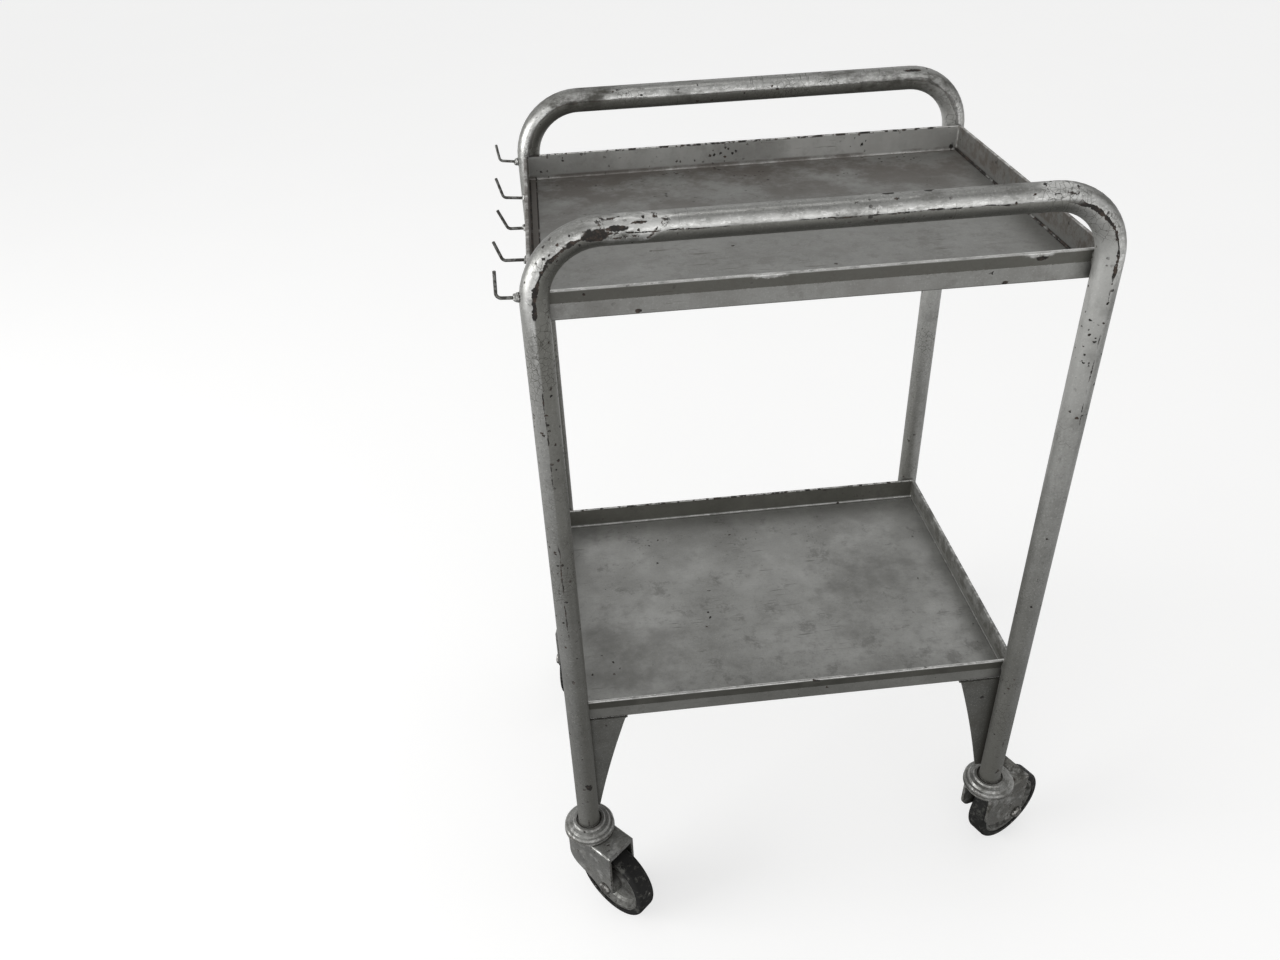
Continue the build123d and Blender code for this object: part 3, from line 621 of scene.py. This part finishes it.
ALONG_THE_BEND = (0.5, 1, 1)     # drawn out along the rail
FRONT_HOOP = Vector((0, FRONT_Y, 0))
REAR_HOOP = Vector((0, REAR_Y, 0))
FRONT_MARKS = [
    (Vector((LEFT_X + 0.054, FRONT_Y - TUBE_R, RAIL_Z + 0.0005)), 0.0060, ALONG_THE_BEND),
    (Vector((LEFT_X + 0.072, FRONT_Y - TUBE_R, RAIL_Z + 0.0055)), 0.0032, (0.28, 1, 1)),
    (Vector((LEFT_X + 0.090, FRONT_Y - TUBE_R * 0.8, RAIL_Z + 0.0085)), 0.0016, (0.2, 1, 1)),
    (Vector((LEFT_X + 0.296, FRONT_Y + 0.002, RAIL_Z + TUBE_R)), 0.0035, (0.6, 1, 1)),
    (Vector((LEFT_X + 0.330, FRONT_Y + 0.002, RAIL_Z + TUBE_R)), 0.0030, (0.6, 1, 1)),
]
FRONT_FLAKES = [
    (Vector((LEFT_X + 0.085, FRONT_Y - TUBE_R * 0.8, RAIL_Z + 0.0075)), 0.016, (0.35, 1, 1)),
    (Vector((LEFT_X + 0.440, FRONT_Y - TUBE_R * 0.5, RAIL_Z + 0.010)), 0.012, (0.5, 1, 1)),
]
# places of painted highlight beside the front line
FRONT_GLINTS = [
    (Vector((LEFT_X + 0.012, FRONT_Y - TUBE_R, RAIL_Z - 0.030)), 0.085, (1, 1, 1)),
]
UPPER_MARKS = [
    # the front of the hem and the wall under it, then the back corner on the right
    (Vector((UPPER_LOW.x + 0.048, UPPER_LOW.y, UPPER_HIGH.z - 0.006)), 0.0016, (1, 1, 1)),
    (Vector((UPPER_LOW.x + 0.094, UPPER_LOW.y + 0.001, UPPER_LOW.z + 0.003)), 0.0026, (0.7, 1, 1)),
    (Vector((UPPER_HIGH.x - 0.061, UPPER_LOW.y, UPPER_HIGH.z - 0.006)), 0.0026, (0.4, 1, 1)),
    (Vector((UPPER_HIGH.x - 0.090, UPPER_LOW.y + 0.001, UPPER_LOW.z + 0.002)), 0.0022, (0.6, 1, 1)),
    (Vector((UPPER_HIGH.x - 0.010, UPPER_HIGH.y - 0.006, UPPER_LOW.z + 0.005)), 0.0040, (1, 1, 1)),
]
UPPER_FLAKES = [
    (Vector((UPPER_LOW.x + 0.208, UPPER_LOW.y, UPPER_HIGH.z)), 0.005, (0.22, 1, 1)),
    (Vector((UPPER_HIGH.x - 0.064, UPPER_LOW.y, UPPER_HIGH.z - 0.001)), 0.005, (0.30, 1, 1)),
]
REAR_MARKS = [
    (Vector((LEFT_X + 0.44, REAR_Y - 0.008, RAIL_Z + 0.0095)), 0.0018, (0.15, 1, 1)),
]

give(["front_hoop"], hoop_finish(
    "front_hoop_paint", FRONT_HOOP, 1.0, 0.6, FRONT_MARKS, FRONT_FLAKES, FRONT_GLINTS
))
give(["rear_hoop"], hoop_finish("rear_hoop_paint", REAR_HOOP, 0.5, 0.95, REAR_MARKS))
give(["upper_tray"], sheet_finish(
    "upper_tray_paint", UPPER_LOW, UPPER_HIGH, SILVER, BROWN_GRIME_AND_SHADE, stain_back=1.0, clouds=0.25,
    hem_dark=0.74, back_painted_light=0.75, marks=UPPER_MARKS, flaked=UPPER_FLAKES,
))
give(["lower_tray"], sheet_finish(
    "lower_tray_paint", LOWER_LOW, LOWER_HIGH, SILVER_FRESH, GRIME_AND_SHADE, stain_back=0.32, clouds=0.40,
    hem_dark=0.85, wall_dark=0.4, back_dark=0.85,
))
give(every("gusset"), plain_paint("gusset_paint", 0.35, 0.7))
# the front right gusset's paint is darker
give(["gusset_front_right"], plain_paint(
    "gusset_darker_paint", 0.35, 0.8, (0.165, 0.165, 0.153), (0.12, 0.12, 0.11)
))
weld_nodes = ("upper_tray_welds", "lower_tray_welds", "gusset_welds")
give(weld_nodes, plain_paint("weld_paint", 0.5, 0.45))
give(["hook_welds"], plain_paint("hook_weld_paint", 0.3, 0.2, SILVER_FRESH, SILVER))
give(every("swivel_cup"), castor_paint("cup_paint", 0.6))
give(every("fork"), castor_paint("fork_paint", 0.8))
give(["fork_front_right"], castor_paint("fork_rusty_paint", 1.0, (0.16, 0.155, 0.14)))
give([f"hook_{count}" for count in range(1, 6)], wire_finish())
steel_nodes = ("leg_plug", "kingpin", "swivel_balls", "axle", "axle_nut", "wheel_bush")
for stem in steel_nodes:
    give(every(stem), steel_finish())
give(every("wheel"), wheel_finish())
give(every("tyre"), rubber_finish())


# ---- uneven welds -------------------------------------------------------------------------
def lumpy(name, grain, height, smoothing):
    """Rounds a node's weld beads off and makes them uneven."""
    bead = nodes[name]
    remesh = bead.modifiers.new("beads", "REMESH")
    remesh.mode = "VOXEL"
    remesh.voxel_size = 0.0005
    soften = bead.modifiers.new("soften", "SMOOTH")
    soften.factor = 0.8
    soften.iterations = smoothing
    lumps = bpy.data.textures.new(f"{name}_lumps", "CLOUDS")
    lumps.noise_scale = grain
    displace = bead.modifiers.new("lumps", "DISPLACE")
    displace.texture = lumps
    displace.texture_coords = "LOCAL"
    displace.strength = height
    displace.mid_level = 0.3


lumpy("hook_welds", 0.0034, 0.0034, 3)
lumpy("gusset_welds", 0.0026, 0.0014, 3)
lumpy("upper_tray_welds", 0.0026, 0.0014, 2)
lumpy("lower_tray_welds", 0.0026, 0.0014, 2)


# ---- studio -------------------------------------------------------------------------------
FLOOR_HALF = 30.0


def make_floor():
    """A pale floor that the camera sees, and that throws no light back on the object."""
    mesh = bpy.data.meshes.new("studio_floor")
    corners = [(x * FLOOR_HALF, y * FLOOR_HALF, 0) for x, y in ((-1, -1), (1, -1), (1, 1), (-1, 1))]
    mesh.from_pydata(corners, [], [(0, 1, 2, 3)])
    floor = bpy.data.objects.new("studio_floor", mesh)
    bpy.context.scene.collection.objects.link(floor)
    f = Finish("studio_floor_finish")
    tone = f.mix(f.noise(3.0, 3.0), (0.44, 0.44, 0.435), (0.46, 0.46, 0.455))
    f.shader.inputs["Emission Color"].default_value = (1, 1, 1, 1)
    f.shader.inputs["Emission Strength"].default_value = 0.62
    mesh.materials.append(f.surface(tone, 0.0, 0.9))
    floor.visible_diffuse = False
    floor.visible_glossy = False


# How bright the studio is at each height above the horizon, in degrees.
SKY = [
    (-90, 0.03), (-50, 0.10), (-28, 0.72), (-12, 1.05),
    (0, 0.55), (12, 0.40), (35, 0.85), (90, 0.16),
]
SEEN_SKY = (0.95, 0.95, 0.945, 1)


def make_world():
    """A studio that is dark low down, brightest round the horizon and softer overhead."""
    world = bpy.data.worlds.new("studio")
    world.use_nodes = True
    bpy.context.scene.world = world
    tree = world.node_tree
    tree.nodes.clear()
    sky = tree.nodes.new("ShaderNodeTexCoord")
    split = tree.nodes.new("ShaderNodeSeparateXYZ")
    ramp = tree.nodes.new("ShaderNodeValToRGB")
    rise = tree.nodes.new("ShaderNodeMapRange")
    rise.inputs["From Min"].default_value = -1.0
    while len(ramp.color_ramp.elements) < len(SKY):
        ramp.color_ramp.elements.new(0.5)
    for element, (height, level) in zip(ramp.color_ramp.elements, SKY):
        element.position = (1 + sin(radians(height))) / 2
        element.color = (level, level, level, 1)
    lit = tree.nodes.new("ShaderNodeBackground")
    seen = tree.nodes.new("ShaderNodeBackground")
    seen.inputs["Color"].default_value = SEEN_SKY
    path = tree.nodes.new("ShaderNodeLightPath")
    mix = tree.nodes.new("ShaderNodeMixShader")
    out = tree.nodes.new("ShaderNodeOutputWorld")
    link = tree.links.new
    link(sky.outputs["Generated"], split.inputs[0])
    link(split.outputs[2], rise.inputs["Value"])
    link(rise.outputs["Result"], ramp.inputs["Fac"])
    link(ramp.outputs["Color"], lit.inputs["Color"])
    link(path.outputs["Is Camera Ray"], mix.inputs[0])
    link(lit.outputs[0], mix.inputs[1])
    link(seen.outputs[0], mix.inputs[2])
    link(mix.outputs[0], out.inputs["Surface"])


def soft_box(name, place, aim, size, watts):
    light = bpy.data.lights.new(name, "AREA")
    light.shape = "RECTANGLE"
    light.size, light.size_y = size
    light.energy = watts
    lamp = bpy.data.objects.new(name, light)
    lamp.location = place
    lamp.rotation_mode = "QUATERNION"
    lamp.rotation_quaternion = (Vector(aim) - Vector(place)).to_track_quat("-Z", "Y")
    lamp.visible_camera = False
    bpy.context.scene.collection.objects.link(lamp)


SOFT_BOXES = {
    # name: (place, width and height, watts)
    "front_window": ((0.3, -3.2, 1.45), (3.4, 0.9), 14.0),
    "left_window": ((-2.9, -0.6, 1.2), (2.0, 1.3), 50.0),
    "top_strip": ((-0.3, 0.0, 3.1), (0.5, 2.4), 9.0),
}


def make_lights():
    middle = (cad_box[0] + cad_box[1]) / 2
    for name, (place, size, watts) in SOFT_BOXES.items():
        soft_box(name, place, middle, size, watts)


# ---- camera -------------------------------------------------------------------------------
CAMERA_PLACE = Vector((-0.2497, -1.0108, 1.1847))
CAMERA_TURN = 0.0718     # from straight ahead, +Y, towards +X, radians
CAMERA_DOWN = 0.6089
CAMERA_LEAN = -0.0483
SENSOR_WIDTH = 36.0
LENS = 29.32


def make_camera():
    ahead = Vector((
        sin(CAMERA_TURN) * cos(CAMERA_DOWN), cos(CAMERA_TURN) * cos(CAMERA_DOWN), -sin(CAMERA_DOWN)
    ))
    level = Vector((cos(CAMERA_TURN), -sin(CAMERA_TURN), 0))
    above = level.cross(ahead)
    right = cos(CAMERA_LEAN) * level + sin(CAMERA_LEAN) * above
    up = -sin(CAMERA_LEAN) * level + cos(CAMERA_LEAN) * above
    data = bpy.data.cameras.new("camera")
    data.sensor_width = SENSOR_WIDTH
    data.lens = LENS
    data.clip_start, data.clip_end = 0.05, 100
    camera = bpy.data.objects.new("camera", data)
    bpy.context.scene.collection.objects.link(camera)
    turn = Matrix((right, up, -ahead)).transposed().to_4x4()
    camera.matrix_world = Matrix.Translation(CAMERA_PLACE) @ turn
    bpy.context.scene.camera = camera


make_floor()
make_world()
make_lights()
make_camera()
bpy.context.scene.view_settings.view_transform = "Standard"
